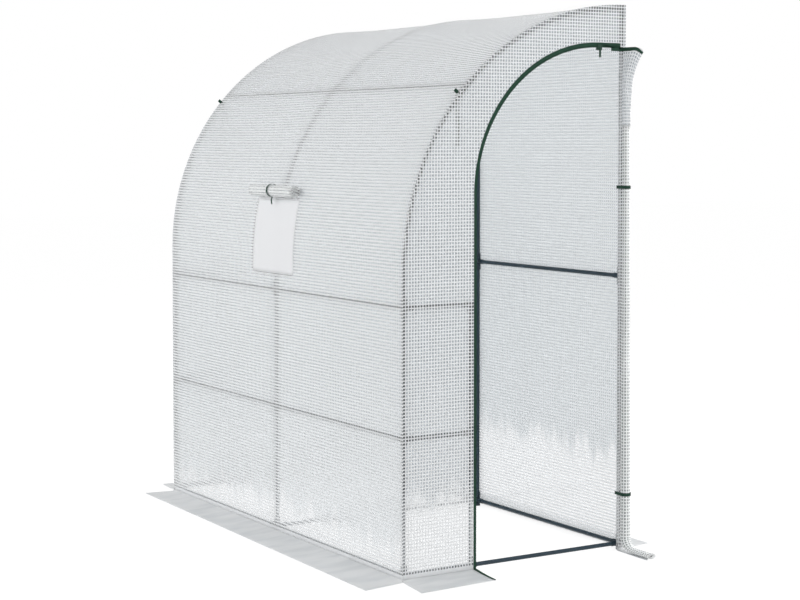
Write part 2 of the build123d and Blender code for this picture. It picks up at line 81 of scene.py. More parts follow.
JOINTS = {joint["name"]: joint for joint in frame["joints"]}


def middle(piece):
    """The middle of a piece's box in the frame."""
    low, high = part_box(piece)
    return (low + high) / 2


# Sizes read off the frame: the cover, its tubes and their lines
cover_low, cover_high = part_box("front_roof_sheet")
X_FAR, X_NEAR = cover_low.x, cover_high.x
Y_FRONT, Y_BACK = cover_low.y, cover_high.y
# The film is drawn down over the base rails and folds out close to the ground
Z_FOLD, Z_TOP = 0.4 * cover_low.z, cover_high.z
LENGTH = X_NEAR - X_FAR
TUBE_Y = middle("near_front_leg").y
ARC_Y = -TUBE_Y
COVER_R = ARC_Y - Y_FRONT
Z_SPRING = Z_TOP - COVER_R
WALL = Z_SPRING - Z_FOLD
ROOF = COVER_R * math.pi / 2
HOOPS = [middle(f"{hoop}_front_leg").x for hoop in ("far", "middle", "near")]
BRACES = [Z_FOLD, middle("lower_purlins").z, middle("upper_purlins").z]
BACK_RAIL = middle("back_rails").z
roof_purlin = middle("roof_purlins")
ROOF_PURLIN = math.atan2(roof_purlin.z - Z_SPRING, ARC_Y - roof_purlin.y)
PURLINS = [*(z - Z_FOLD for z in BRACES), WALL + COVER_R * ROOF_PURLIN, WALL + ROOF]

# The doorway and its rolled flap
END_INSET = Y_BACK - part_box("near_end_sheet")[1].y
ZIP_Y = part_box("near_end_skirt")[1].y
SEAM_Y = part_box("door_zip_tape")[1].y
DOOR_Y, DOOR_Z = JOINTS["zip_run"]["pos_m"][1:]
DOOR_R = DOOR_Y - ZIP_Y
DOOR_TOP = DOOR_Z + DOOR_R
DOOR_TRAVEL = JOINTS["door_unroll"]["range_m"][1]
roll_low, roll_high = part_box("door_roll")
ROLL_R = (roll_high.y - roll_low.y) / 2
ROLL_X, ROLL_Y = roll_low.x + ROLL_R, middle("door_roll").y
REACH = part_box("near_end_skirt")[1].x - X_NEAR

# The window and its rolled flap
screen_low, screen_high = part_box("window_screen")
window_roll_low, window_roll_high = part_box("window_roll")
WINDOW_ROLL = middle("window_roll")
WINDOW_R = (window_roll_high.z - window_roll_low.z) / 2
WINDOW_ANGLE = math.atan2(WINDOW_ROLL.z - Z_SPRING, ARC_Y - WINDOW_ROLL.y)
WINDOW_TURN = math.radians(JOINTS["window_unroll"]["range_deg"][1])

# Film and its thread grid: the spacing of the threads, the width and height of a clear cell, and the softness
# of a cell's edge and corners as shares of the spacing
FILM = 0.001
GRID = 0.0125
SQUARE_CELL = (0.0078, 0.0078)
SLIT_CELL = (0.0098, 0.0062)
THREAD_EDGE = 0.028
CELL_ROUND = 0.12
# The near end's first threads lie this far outside its edge, and its plain hem is this high
THREAD_START = 0.002
END_HEM = 2 * GRID
# Share of light that goes on through a thread, roughness of the dry film, and its milky streaks
THREAD_GLOW = 0.38
DRY_ROUGH = 0.27
# The milky streaks are partly the film's own milkiness and partly painted sheen where its creases catch the
# light
STREAK = 0.143
STREAK_NOISE = (0.58, 0.85)
STREAK_MILKY_SHEEN = 0.25
# Damp film near the ground: a ragged line of drips, below which it is smoother and a little milky
DRIP = 0.05
DAMP_FADE = 0.1
DAMP_RAGGED = 0.3
DAMP_MILKY = 0.15
DAMP_ROUGH = 0.08
# Soft waves in the film, by length and height
FILM_WAVE = 0.0625
FILM_WAVE_HEIGHT = 0.004
SKIRT_STREAK = 0.0714
# The insect mesh's weave as drawn, its thickness and how far it is set back, and the patches in the solid
# finishes
SCREEN_WEAVE = 0.004
SCREEN = 0.0006
SCREEN_SET = 0.0002
PATCH = 0.03
PATCH_TONE = 0.25
PATCH_GLOSS = 0.1

# Shapes of the film: the mesh's pitch, slack between the tubes, and creases
PITCH = 0.02
# A narrow strip along an edge keeps the film's shading flat up to it, as a width and as a share across
EDGE_STRIP = 0.0006
EDGE_SHARE = 0.002
WALL_SAG = 0.003
ROOF_SAG = 0.014
END_SAG = 0.0015
ROOF_STRETCH = 0.1
CREASE = 0.0016
# Skirts: the gap at a corner, how steeply and how far along a corner is tucked, the ripple on the ground, and
# the near end's widths and cuts
SKIRT_NOTCH = -0.001
SKIRT_TUCK = 60
TUCK_REACH = 0.03
SKIRT_RIPPLE = 0.0012
NEAR_REACH = (0.15, 0.168)
NEAR_FLARE = (-0.012, 0.026)
SEAM_LAP = 0.006
# The rolled door, thinner at its top and flattened where its foot turns out on the ground
WRAP_R = 0.68 * ROLL_R
WRAP_X = ROLL_X + 0.5 * (ROLL_R - WRAP_R)
WRAP_Y = ROLL_Y + 0.85 * (ROLL_R - WRAP_R)
ROLL_TAPER = 0.24
ROLL_LEAN = 1.2
ROLL_TURNS = 8.3
ROLL_CORE = 0.3
ROLL_FILM = 0.7 * FILM
ROLL_WRINKLES = (0.035, 0.02)
TIE_PINCH = (0.04, 0.03)
FOOT_BEND = 0.06
FOOT_HALF = 0.011
FOOT_LIFT = 0.004
# The flaps that the rolls pay out, and the flap's loose top
FLAP_FILM = 0.6 * FILM
ZIP_GAP = 0.012
TOP_HINGE = (0.010, 0.014)
TOP_OPENS = 3.1
TOP_HALF = 0.009
TOP_DROOP = 0.02
TOP_FIT = 0.98
TOP_WAVE = 0.004
TOP_ROUND = 0.25
TAPE = 0.0012
TAPE_LEAD = 0.009
# The rolled window: its turns and core, its wrinkles, the depth and spread of the tie's pinch, and the
# strip's height off the cover at its seam and what it gains by the roll
WINDOW_TURNS = 3.8
WINDOW_CORE = 0.06
WINDOW_WRINKLE = 0.04
WINDOW_PINCH = (0.05, 0.02)
WINDOW_LIFT = (0.0006, 0.002)
# Straps, and the cover's ties: the tab's reach, the place below the roof purlin, the ring round the tube and
# the loose tail
STRAP = 0.0012
STRAP_WIDTH = 0.012
WEB = 0.8 * STRAP
WEB_EASE = 0.0008
WINDOW_TAIL = ((0.004, 0.012), (0.002, 0.03))
TIE_SEWN = 0.010
TIE_BACK = 0.002
TIE_FLAT = 0.008
TAB_REACH = 0.016
TIE_DROP = 0.048
TIE_TUBE = COVER_R - 0.0122
TIE_RING = 0.0098
TIE_LOOP = 0.0008
TIE_TAIL = 0.19
TIE_SWAY = 0.004
TIE_OFF = 0.0125
# Zip teeth: the spacing along the tape, half sizes across, along and off it, and their middle across and off
TOOTH_PITCH = 0.0032
TOOTH_HALF = (0.0022, 0.001, 0.0008)
TOOTH_SET = (0.0012, 0.0016)
TOOTH_ENDS = 0.003
TAPE_LIFT = 0.0014


# Materials
def linear(code):
    """A hex colour as linear red, green, blue and alpha."""
    values = [int(code[i : i + 2], 16) / 255 for i in (1, 3, 5)]
    return [*(v / 12.92 if v <= 0.04045 else ((v + 0.055) / 1.055) ** 2.4 for v in values), 1.0]


def node(tree, kind, links=None, **settings):
    """Adds a node, sets its properties or input values by name, and links sockets into its inputs."""
    made = tree.nodes.new(kind)
    for name, value in settings.items():
        setattr(made, name, value)
    for socket, value in (links or {}).items():
        if isinstance(value, bpy.types.NodeSocket):
            tree.links.new(value, made.inputs[socket])
        else:
            made.inputs[socket].default_value = value
    return made.outputs[0]


def material(name):
    """An empty node material and its output node."""
    made = bpy.data.materials.new(name)
    made.use_nodes = True
    made.node_tree.nodes.clear()
    return made, made.node_tree, made.node_tree.nodes.new("ShaderNodeOutputMaterial")


def relief(tree, size, stretch, height, strength):
    """A noise bump whose waves have a given size."""
    place = node(tree, "ShaderNodeTexCoord").node.outputs["Object"]
    place = node(tree, "ShaderNodeMapping", {"Vector": place, "Scale": stretch})
    waves = node(tree, "ShaderNodeTexNoise", {"Vector": place, "Scale": 1 / size, "Detail": 3.0})
    return node(tree, "ShaderNodeBump", {"Height": waves, "Distance": height, "Strength": strength})


def film_material(name, thread_colour, cell_colour, cell, damp=0.0, shade=0.5):
    """Clear film with a white woven grid: the threads read white, and each small cell shows what is behind,
    sharp where it touches the film and blurred where it is far. Below the height damp it is paler. shade is
    the share of light that gets through."""
    made, tree, out = material(name)
    flat = node(tree, "ShaderNodeUVMap", uv_map="flat")
    cells = node(tree, "ShaderNodeVectorMath", {0: flat, "Scale": 1 / GRID}, operation="SCALE")
    cells = node(tree, "ShaderNodeVectorMath", {0: cells}, operation="FRACTION")
    cells = node(tree, "ShaderNodeVectorMath", {0: cells, 1: (0.5, 0.5, 0.0)}, operation="SUBTRACT")
    cells = node(tree, "ShaderNodeVectorMath", {0: cells}, operation="ABSOLUTE")
    half = (cell[0] / GRID / 2, cell[1] / GRID / 2, 0.0)
    cells = node(tree, "ShaderNodeVectorMath", {0: cells, 1: half}, operation="SUBTRACT")
    split = node(tree, "ShaderNodeSeparateXYZ", {0: cells}).node.outputs
    past = node(tree, "ShaderNodeMath", {0: split[0], 1: split[1], 2: CELL_ROUND}, operation="SMOOTH_MAX")
    links = {"Value": past, "From Min": -THREAD_EDGE, "From Max": THREAD_EDGE}
    thread = node(tree, "ShaderNodeMapRange", links, interpolation_type="SMOOTHSTEP")

    # Milky streaks: partly the film's own milkiness and partly painted sheen on its creases
    place = node(tree, "ShaderNodeTexCoord").node.outputs["Object"]
    streaks = node(tree, "ShaderNodeMapping", {"Vector": place, "Scale": (1.0, 1.0, 0.35)})
    streaks = node(tree, "ShaderNodeTexNoise", {"Vector": streaks, "Scale": 1 / STREAK, "Detail": 4.0})
    low, high = STREAK_NOISE
    links = {"Value": streaks, "From Min": low, "From Max": high, "To Max": STREAK_MILKY_SHEEN}
    milky = node(tree, "ShaderNodeMapRange", links, interpolation_type="SMOOTHSTEP")

    tint = linear(cell_colour)
    rough = DRY_ROUGH
    if damp:
        height = node(tree, "ShaderNodeSeparateXYZ", {0: place}).node.outputs[2]
        drips = node(tree, "ShaderNodeMapping", {"Vector": place, "Scale": (1.0, 1.0, 0.2)})
        drips = node(tree, "ShaderNodeTexNoise", {"Vector": drips, "Scale": 1 / DRIP, "Detail": 3.0})
        links = {0: drips, 1: -DAMP_RAGGED, 2: height}
        ragged = node(tree, "ShaderNodeMath", links, operation="MULTIPLY_ADD")
        line = damp - DAMP_RAGGED / 2
        links = {"Value": ragged, "From Min": line - DAMP_FADE, "From Max": line}
        dry = node(tree, "ShaderNodeMapRange", links, interpolation_type="SMOOTHSTEP")
        tint = node(tree, "ShaderNodeMixRGB", {"Fac": dry, "Color1": linear("#fbfbfb"), "Color2": tint})
        rough = node(tree, "ShaderNodeMapRange", {"Value": dry, "To Min": DAMP_ROUGH, "To Max": DRY_ROUGH})
        links = {0: dry, 1: -DAMP_MILKY, 2: DAMP_MILKY}
        drops = node(tree, "ShaderNodeMath", links, operation="MULTIPLY_ADD")
        milky = node(tree, "ShaderNodeMath", {0: milky, 1: drops}, operation="MAXIMUM")

    bump = relief(tree, FILM_WAVE, (1.0, 1.0, 0.3), FILM_WAVE_HEIGHT, 0.4)
    white = linear(thread_colour)
    woven = node(tree, "ShaderNodeBsdfPrincipled", {"Base Color": white, "Roughness": 0.4, "Normal": bump})
    through = node(tree, "ShaderNodeBsdfTranslucent", {"Color": white, "Normal": bump})
    woven = node(tree, "ShaderNodeMixShader", {0: THREAD_GLOW, 1: woven, 2: through})
    glass = {"Roughness": rough, "IOR": 1.4, "Transmission Weight": 1.0, "Normal": bump}
    clear = node(tree, "ShaderNodeBsdfPrincipled", {"Base Color": tint, **glass})
    clear = node(tree, "ShaderNodeMixShader", {0: milky, 1: clear, 2: woven})
    surface = node(tree, "ShaderNodeMixShader", {0: thread, 1: clear, 2: woven})
    dimmed = node(tree, "ShaderNodeBsdfTransparent", {"Color": (shade, shade, shade, 1.0)})
    lit = node(tree, "ShaderNodeLightPath").node.outputs["Is Shadow Ray"]
    surface = node(tree, "ShaderNodeMixShader", {0: lit, 1: surface, 2: dimmed})
    tree.links.new(surface, out.inputs["Surface"])
    return made


def skirt_material():
    """Film that lies on the ground: milky and plain, in a grey that is painted shade, with soft streaks
    across it.
    """
    made, tree, out = material("dusty polyethylene film")
    place = node(tree, "ShaderNodeTexCoord").node.outputs["Object"]
    links = {"Vector": place, "Rotation": (0.0, 0.0, 0.6), "Scale": (1.0, 0.3, 1.0)}
    streaks = node(tree, "ShaderNodeMapping", links)
    streaks = node(tree, "ShaderNodeTexNoise", {"Vector": streaks, "Scale": 1 / SKIRT_STREAK, "Detail": 3.0})
    links = {"Value": streaks, "From Min": 0.35, "From Max": 0.7}
    streak_mask = node(tree, "ShaderNodeMapRange", links, interpolation_type="SMOOTHSTEP")
    # Both greys are painted shade for the shaded ground under the skirt, streaked paler and greyer at random
    links = {"Fac": streak_mask, "Color1": linear("#eff1f2"), "Color2": linear("#e0e3e5")}
    pale = node(tree, "ShaderNodeMixRGB", links)
    bump = relief(tree, FILM_WAVE, (1.0, 1.0, 1.0), FILM_WAVE_HEIGHT, 0.4)
    top = node(tree, "ShaderNodeBsdfPrincipled", {"Base Color": pale, "Roughness": 0.45, "Normal": bump})
    tree.links.new(top, out.inputs["Surface"])
    return made


def screen_material():
    """Fine white insect mesh: nearly solid, with a hint of the tube behind. Its weave of about 1 mm is drawn
    coarser, so that it shows."""
    made, tree, out = material("fine insect mesh")
    flat = node(tree, "ShaderNodeUVMap", uv_map="flat")
    links = {"Vector": flat, "Scale": 1 / SCREEN_WEAVE}
    links.update({"Color1": linear("#f3f4f6"), "Color2": linear("#fbfcfe")})
    weave = node(tree, "ShaderNodeTexChecker", links)
    links = {"Base Color": weave, "Roughness": 0.7}
    mesh = node(tree, "ShaderNodeBsdfPrincipled", links)
    clear = node(tree, "ShaderNodeBsdfTransparent")
    both = node(tree, "ShaderNodeMixShader", {0: 0.14, 1: mesh, 2: clear})
    tree.links.new(both, out.inputs["Surface"])
    return made


def solid_material(name, colour, roughness, grain, height, shine):
    """A solid finish with a relief of a given grain and height, a little paler and duller in patches."""
    made, tree, out = material(name)
    place = node(tree, "ShaderNodeTexCoord").node.outputs["Object"]
    patches = node(tree, "ShaderNodeTexNoise", {"Vector": place, "Scale": 1 / PATCH, "Detail": 4.0})
    tones = (1 - PATCH_TONE, 1 + PATCH_TONE)
    dark, pale = ([share * v for v in linear(colour)[:3]] + [1.0] for share in tones)
    tone = node(tree, "ShaderNodeMixRGB", {"Fac": patches, "Color1": dark, "Color2": pale})
    links = {"Value": patches, "To Min": roughness - PATCH_GLOSS, "To Max": roughness + PATCH_GLOSS}
    dull = node(tree, "ShaderNodeMapRange", links)
    bump = relief(tree, grain, (1.0, 1.0, 1.0), height, 0.5)
    links = {"Base Color": tone, "Roughness": dull, "Specular IOR Level": shine, "Normal": bump}
    finish = node(tree, "ShaderNodeBsdfPrincipled", links)
    tree.links.new(finish, out.inputs["Surface"])
    return made


# Film of the two ends: a grid of square cells, which goes clear near the ground
END_LOOK = film_material("reinforced polyethylene film", "#f6f7f8", "#c8cdd0", SQUARE_CELL, 0.36)
# Film of the front and roof, and of the back: the upright threads are thin, so it reads as level lines
FRONT_LOOK = film_material("ribbed polyethylene film", "#f6f7f8", "#dfe3e5", SLIT_CELL, 0.18)
# Painted shade: the back's cells are darker than the front's; its higher damp zone paints light at its foot
BACK_LOOK_PAINTED_SHADE = film_material("backlit polyethylene film", "#f6f7f8", "#c2c8cb", SLIT_CELL, 0.42)
# Film that is rolled up: many layers, which read nearly white, and the window's with its lines
# Painted light: the door's roll is paler than the end's film, and both rolls pass most light to their shadows
ROLL_LOOK_PAINTED_LIGHT = film_material("rolled polyethylene film", "#fafbfb", "#f2f4f4", SQUARE_CELL, shade=0.96)
WINDOW_LOOK = film_material("rolled ribbed film", "#f8f9f9", "#e0e3e5", SLIT_CELL, shade=0.93)
SKIRT_LOOK = skirt_material()
SCREEN_LOOK = screen_material()
# Slate powder coat, whose orange peel of about 1 mm softens its highlights
TUBE_LOOK = solid_material("slate powder coat", "#293b46", 0.42, 0.0011, 0.0004, 0.3)
# Moulded nylon with a spark-eroded grain under 1 mm, a little darker and duller than the tubes
FITTING_LOOK = solid_material("moulded nylon", "#293842", 0.6, 0.00067, 0.0003, 0.3)
# Green polyester zip tape, matt, with ribs of 0.7 mm
TAPE_LOOK = solid_material("woven zip tape", "#2d4a3c", 0.75, 0.0007, 0.0006, 0.12)
# Green webbing of the ties, matt, with a weave of 0.9 mm
WEB_LOOK = solid_material("polyester webbing", "#2b463a", 0.8, 0.0009, 0.0006, 0.12)
# Painted die-cast zinc of the zip's slider and pull, which has a dull shine
ZIP_LOOK = solid_material("painted zinc", "#2a4438", 0.4, 0.0014, 0.0002, 0.2)


# Mesh helpers
def steps(marks, size):
    """Values through all the marks, no further apart than size."""
    values = [marks[0]]
    for a, b in zip(marks, marks[1:]):
        count = max(1, math.ceil((b - a) / size - 1e-6))
        values += [a + (b - a) * i / count for i in range(1, count + 1)]
    return np.array(values)


def bays(values, lines):
    """0 on each line and 1 midway between two lines."""
    lines = np.sort(np.array(lines))
    at = np.clip(np.searchsorted(lines, values), 1, len(lines) - 1)
    share = (values - lines[at - 1]) / (lines[at] - lines[at - 1])
    return np.clip(4 * share * (1 - share), 0, 1)


def ripple(x, y, seed):
    """Smooth noise over two arrays, from about -1 to 1."""
    return np.vectorize(lambda a, b: noise.noise(Vector((a, b, seed))))(x, y)


def mesh_piece(name, points, faces, look, uvs=None, smooth=True):
    """A mesh object with one material, and flat positions in metres as its UV map."""
    mesh = bpy.data.meshes.new(name)
    mesh.from_pydata([tuple(p) for p in points], [], faces)
    if uvs is not None:
        layer = mesh.uv_layers.new(name="flat")
        for loop in mesh.loops:
            layer.data[loop.index].uv = uvs[loop.vertex_index]
    mesh.polygons.foreach_set("use_smooth", [smooth] * len(mesh.polygons))
    mesh.materials.append(look)
    made = bpy.data.objects.new(name, mesh)
    bpy.context.scene.collection.objects.link(made)
    return made


def grid_piece(name, points, u, v, look, keep=None, thick=FILM):
    """A sheet on a grid of points, with u and v as its flat positions, thickened behind its face."""
    rows, columns = points.shape[:2]
    faces = []
    for i in range(rows - 1):
        for j in range(columns - 1):
            corners = [(i, j), (i + 1, j), (i + 1, j + 1), (i, j + 1)]
            if keep is None or keep(*(np.mean([a[c] for c in corners]) for a in (u, v))):
                faces.append([a * columns + b for a, b in corners])
    used = sorted({i for face in faces for i in face})
    place = {old: new for new, old in enumerate(used)}
    faces = [[place[i] for i in face] for face in faces]
    flat = np.stack([u, v], -1).reshape(-1, 2)[used]
    made = mesh_piece(name, points.reshape(-1, 3)[used], faces, look, flat)
    shell = made.modifiers.new("thickness", "SOLIDIFY")
    shell.thickness = thick
    shell.offset = -1
    shell.use_even_offset = True
    return made


def settle(made, body, slot, *nodes):
    """The piece rides on a body and stands for CAD nodes, which it hides. Its slot is not used."""
    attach(made, body)
    if nodes:
        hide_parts(*nodes)
    return made


def apply_shell(made):
    """Makes the thickness part of the mesh, for a piece that bends or flattens."""
    bpy.context.view_layer.update()
    shape = made.evaluated_get(bpy.context.evaluated_depsgraph_get())
    whole = bpy.data.meshes.new_from_object(shape)
    made.modifiers.clear()
    made.data = whole
    return made


# The cover
def profile(s, out=0.0):
    """Y and Z on the cover's front and roof at a flat length up from the fold, moved out along the normal."""
    angle = np.clip((s - WALL) / COVER_R, 0, math.pi / 2)
    past = np.maximum(s - WALL - ROOF, 0)
    y = ARC_Y - (COVER_R + out) * np.cos(angle) + past
    z = Z_FOLD + np.minimum(s, WALL) + (COVER_R + out) * np.sin(angle)
    return y, z


WINDOW_X = (screen_low.x, screen_high.x)
WINDOW_S = (screen_low.z - Z_FOLD, WALL + COVER_R * math.asin((screen_high.z - Z_SPRING) / COVER_R))


def cover_sag(x, s):
    """How far the film stands in from the cover's face: slack between the tubes, with creases."""
    between = bays(x, HOOPS)
    roofward = np.clip((s - WALL) / COVER_R, 0, 1.2) / 1.2
    depth = WALL_SAG + (ROOF_SAG - WALL_SAG) * roofward
    slack = between * np.sqrt(bays(s, PURLINS))
    creases = np.abs(ripple(x * 11, s * 1.6, 3.0)) * CREASE * np.minimum(1, 3 * slack)
    return depth * slack + creases


def thread_place(s):
    """Where a flat length up the cover falls among its threads, which lie further apart up the roof. Its hem
    is welded plain."""
    return np.maximum(s, GRID) - ROOF_STRETCH * ROOF * np.clip((s - WALL) / ROOF, 0, 1) ** 3


def front_cover():
    """The front and roof in one sheet, from the hem up and over to the back, with a hole for the window."""
    x = steps([X_FAR, X_FAR + EDGE_STRIP, HOOPS[0], *WINDOW_X, HOOPS[2], X_NEAR - EDGE_STRIP, X_NEAR], PITCH)
    ridge = WALL + ROOF
    marks = [0.0, GRID, WINDOW_S[0], WALL, WINDOW_S[1], PURLINS[3], ridge, ridge + Y_BACK - ARC_Y]
    s = steps(marks, PITCH)
    xs, ss = np.meshgrid(x, s, indexing="ij")
    y, z = profile(ss, -cover_sag(xs, ss))
    points = np.stack([xs, y, z], -1)
    sill, lintel = thread_place(np.array(WINDOW_S))

    def keep(u, v):
        return not (WINDOW_X[0] < u < WINDOW_X[1] and sill < v < lintel)

    made = grid_piece("film_front_roof", points, xs, thread_place(ss), FRONT_LOOK, keep)
    settle(made, "frame", "film", "front_roof_sheet")


def back_cover():
    """The straight back wall, with slack between the posts."""
    x = steps([X_FAR, X_FAR + EDGE_STRIP, HOOPS[1], X_NEAR - EDGE_STRIP, X_NEAR], PITCH)[::-1]
    z = steps([Z_FOLD, BACK_RAIL, Z_TOP - END_INSET], PITCH)
    xs, zs = np.meshgrid(x, z, indexing="ij")
    slack = bays(xs, HOOPS) * bays(zs, [Z_FOLD, BACK_RAIL, Z_TOP])
    creases = np.abs(ripple(xs * 9, zs * 1.5, 7.0)) * CREASE * np.minimum(1, 3 * slack)
    points = np.stack([xs, Y_BACK - WALL_SAG * slack - creases, zs], -1)
    made = grid_piece("film_back", points, xs, zs, BACK_LOOK_PAINTED_SHADE)
    settle(made, "frame", "film", "back_sheet")


def end_edge(z):
    """Y of an end sheet's front edge at a height."""
    rise = np.clip((z - Z_SPRING) / (COVER_R - END_INSET), 0, 1)
    return ARC_Y - (COVER_R - END_INSET) * np.sqrt(1 - rise**2)


def end_slack(y, z, across):
    """How far an end sheet stands in from its face: nothing over the tubes, with creases between them."""
    slack = 4 * across * (1 - across) * np.where(z < BRACES[2], bays(z, BRACES), 1.0)
    creases = np.abs(ripple(y * 13, z * 1.8, 5.0)) * CREASE
    return np.minimum(1, 2 * slack) * creases + END_SAG * slack


def near_end():
    """The band between the doorway's edge and the outline: up a side, over the top and down the seam."""
    top = Z_TOP - END_INSET
    back = Y_BACK - END_INSET
    z = steps([Z_FOLD, END_HEM, DOOR_Z], PITCH)
    inner = [np.stack([np.full_like(z, ZIP_Y), z], -1)]
    outer = [np.stack([end_edge(z), z], -1)]
    turn = np.radians(steps([0, 90], 2))[1:]
    inner.append(np.stack([DOOR_Y - DOOR_R * np.cos(turn), DOOR_Z + DOOR_R * np.sin(turn)], -1))
    start = math.asin((DOOR_Z - Z_SPRING) / (COVER_R - END_INSET))
    rise = start + (math.pi / 2 - start) * turn / (math.pi / 2)
    radius = COVER_R - END_INSET
    outer.append(np.stack([ARC_Y - radius * np.cos(rise), Z_SPRING + radius * np.sin(rise)], -1))
    along = steps([0, 1], 0.2)[1:]
    seam = SEAM_Y - SEAM_LAP
    inner.append(np.stack([DOOR_Y + (seam - DOOR_Y) * along, np.full_like(along, DOOR_TOP)], -1))
    outer.append(np.stack([ARC_Y + (back - ARC_Y) * along, np.full_like(along, top)], -1))
    down = steps([0, 1], 0.02)[1:]
    inner.append(np.stack([np.full_like(down, seam), DOOR_TOP + (Z_FOLD - DOOR_TOP) * down], -1))
    outer.append(np.stack([np.full_like(down, back), top + (Z_FOLD - top) * down], -1))
    inner, outer = np.concatenate(inner), np.concatenate(outer)
    across = steps([0, EDGE_SHARE, 1 - EDGE_SHARE, 1], 1 / 14)
    yz = outer[None] + (inner - outer)[None] * across[:, None, None]
    y, z = yz[..., 0], yz[..., 1]
    x = X_NEAR - end_slack(y, z, np.broadcast_to(across[:, None], y.shape))
    flat_y = y - end_edge(Z_FOLD) + THREAD_START
    flat_z = np.maximum(z, END_HEM)
    made = grid_piece("film_near_end", np.stack([x, y, z], -1), flat_y, flat_z, END_LOOK)
    settle(made, "frame", "film", "near_end_sheet")


def far_end():
    """The closed far end, under its arc."""
    back = Y_BACK - END_INSET
    upper = Z_SPRING + (Z_TOP - END_INSET - Z_SPRING) * steps([0, 1], 0.02)
    z = np.concatenate([steps([Z_FOLD, Z_SPRING], PITCH), upper[1:]])
    across = steps([0, EDGE_SHARE, 1 - EDGE_SHARE, 1], 0.025)
    edge = end_edge(z)
    y = back + (edge - back)[None] * across[:, None]
    zs = np.broadcast_to(z[None], y.shape)
    x = X_FAR + end_slack(y, zs, np.broadcast_to(across[:, None], y.shape))
    made = grid_piece("film_far_end", np.stack([x, y, zs], -1), y, zs, END_LOOK)
    settle(made, "frame", "film", "far_end_sheet")


def fold_down(out, tuck=0.0):
    """Height of a skirt at a share of its reach, from the fold down to the ground, steeper where tucked."""
    return FILM + (Z_FOLD - FILM) * (1 - out) ** (2 + SKIRT_TUCK * tuck)


def skirt(name, start, along, out, length, reach, flare, seed, *nodes):
    """A strip of the cover that folds out at the ground and is cut straight. reach is its width at its start
    and its end, and flare is how far its outer corners stand beyond the ends of the fold, where it is tucked
    in."""
    a = steps([0.0, length], PITCH)
    t = np.concatenate([steps([0.0, 0.06], 0.015), steps([0.06, 1.0], 0.08)[1:]])
    aa, tt = np.meshgrid(a, t, indexing="ij")
    share = aa / length
    tuck = sum(np.exp(-away / TUCK_REACH) * (side > 0) for away, side in zip((aa, length - aa), flare))
    width = reach[0] + (reach[1] - reach[0]) * share
    corner = [tt * (side + SKIRT_NOTCH) - SKIRT_NOTCH for side in flare]
    sweep = aa + corner[1] * share - corner[0] * (1 - share)
    height = fold_down(tt, tuck) + SKIRT_RIPPLE * (1 + ripple(aa * 4, tt, seed)) * tt
    points = np.array(start)[None, None] + sweep[..., None] * np.array(along)
    points = points + (tt * width)[..., None] * np.array(out)
    points[..., 2] = height
    made = grid_piece(f"film_{name}", points, aa, tt * width, SKIRT_LOOK)
    settle(made, "frame", "film", *nodes)


def skirts():
    """The skirts round the foot of the cover, each with its own widths and cut corners."""
    depth = Y_BACK - Y_FRONT - 2 * END_INSET
    panel = ZIP_Y - Y_FRONT - END_INSET
    front = Y_FRONT + END_INSET
    skirt("front_skirt", (X_NEAR, Y_FRONT, 0.0), (-1, 0, 0), (0, -1, 0), LENGTH,
          (0.176, 0.134), (0.032, 0.018), 11.0, "front_skirt")
    skirt("back_skirt", (X_FAR, Y_BACK, 0.0), (1, 0, 0), (0, 1, 0), LENGTH,
          (REACH, 0.152), (0.02, -0.026), 12.0, "back_skirt")
    skirt("near_end_skirt", (X_NEAR, ZIP_Y, 0.0), (0, -1, 0), (1, 0, 0), panel,
          NEAR_REACH, NEAR_FLARE, 13.0, "near_end_skirt")
    skirt("far_end_skirt", (X_FAR, front, 0.0), (0, 1, 0), (-1, 0, 0), depth,
          (0.172, REACH), (-0.02, 0.0), 14.0, "far_end_skirt")
    back = Y_BACK - END_INSET
    under = roll_high.x - X_NEAR
    skirt("seam_skirt", (X_NEAR, back, 0.0), (0, -1, 0), (1, 0, 0), back - SEAM_Y + SEAM_LAP,
          (0.8 * under, under), (0.0, 0.012), 15.0)


def window_screen():
    """The insect mesh in the window, which follows the cover."""
    x = steps(WINDOW_X, PITCH)
    s = steps([WINDOW_S[0], WALL, WINDOW_S[1]], PITCH)
    xs, ss = np.meshgrid(x, s, indexing="ij")
    y, z = profile(ss, -cover_sag(xs, ss) - SCREEN_SET)
    made = grid_piece("screen_mesh", np.stack([xs, y, z], -1), xs, ss, SCREEN_LOOK, thick=SCREEN)
    settle(made, "frame", "screen", "window_screen")


# Rolled flaps
def spiral(turns, radius, core, end):
    """Angles, radii and flat lengths of film rolled outwards from a core, which is a share of the radius."""
    angle = steps([0.0, turns * 2 * math.pi], math.radians(9))
    radii = radius * (core + (1 - core) * angle / angle[-1])
    run = np.concatenate([[0], np.cumsum(np.diff(angle) * (radii[1:] + radii[:-1]) / 2)])
    return angle - angle[-1] + end, radii, run


def wrap(z):
    """Y of the rolled door's middle and its radius at a height: it is thinner at its top."""
    radius = WRAP_R * (1 - ROLL_TAPER * z / roll_high.z)
    return WRAP_Y - ROLL_LEAN * (WRAP_R - radius), radius


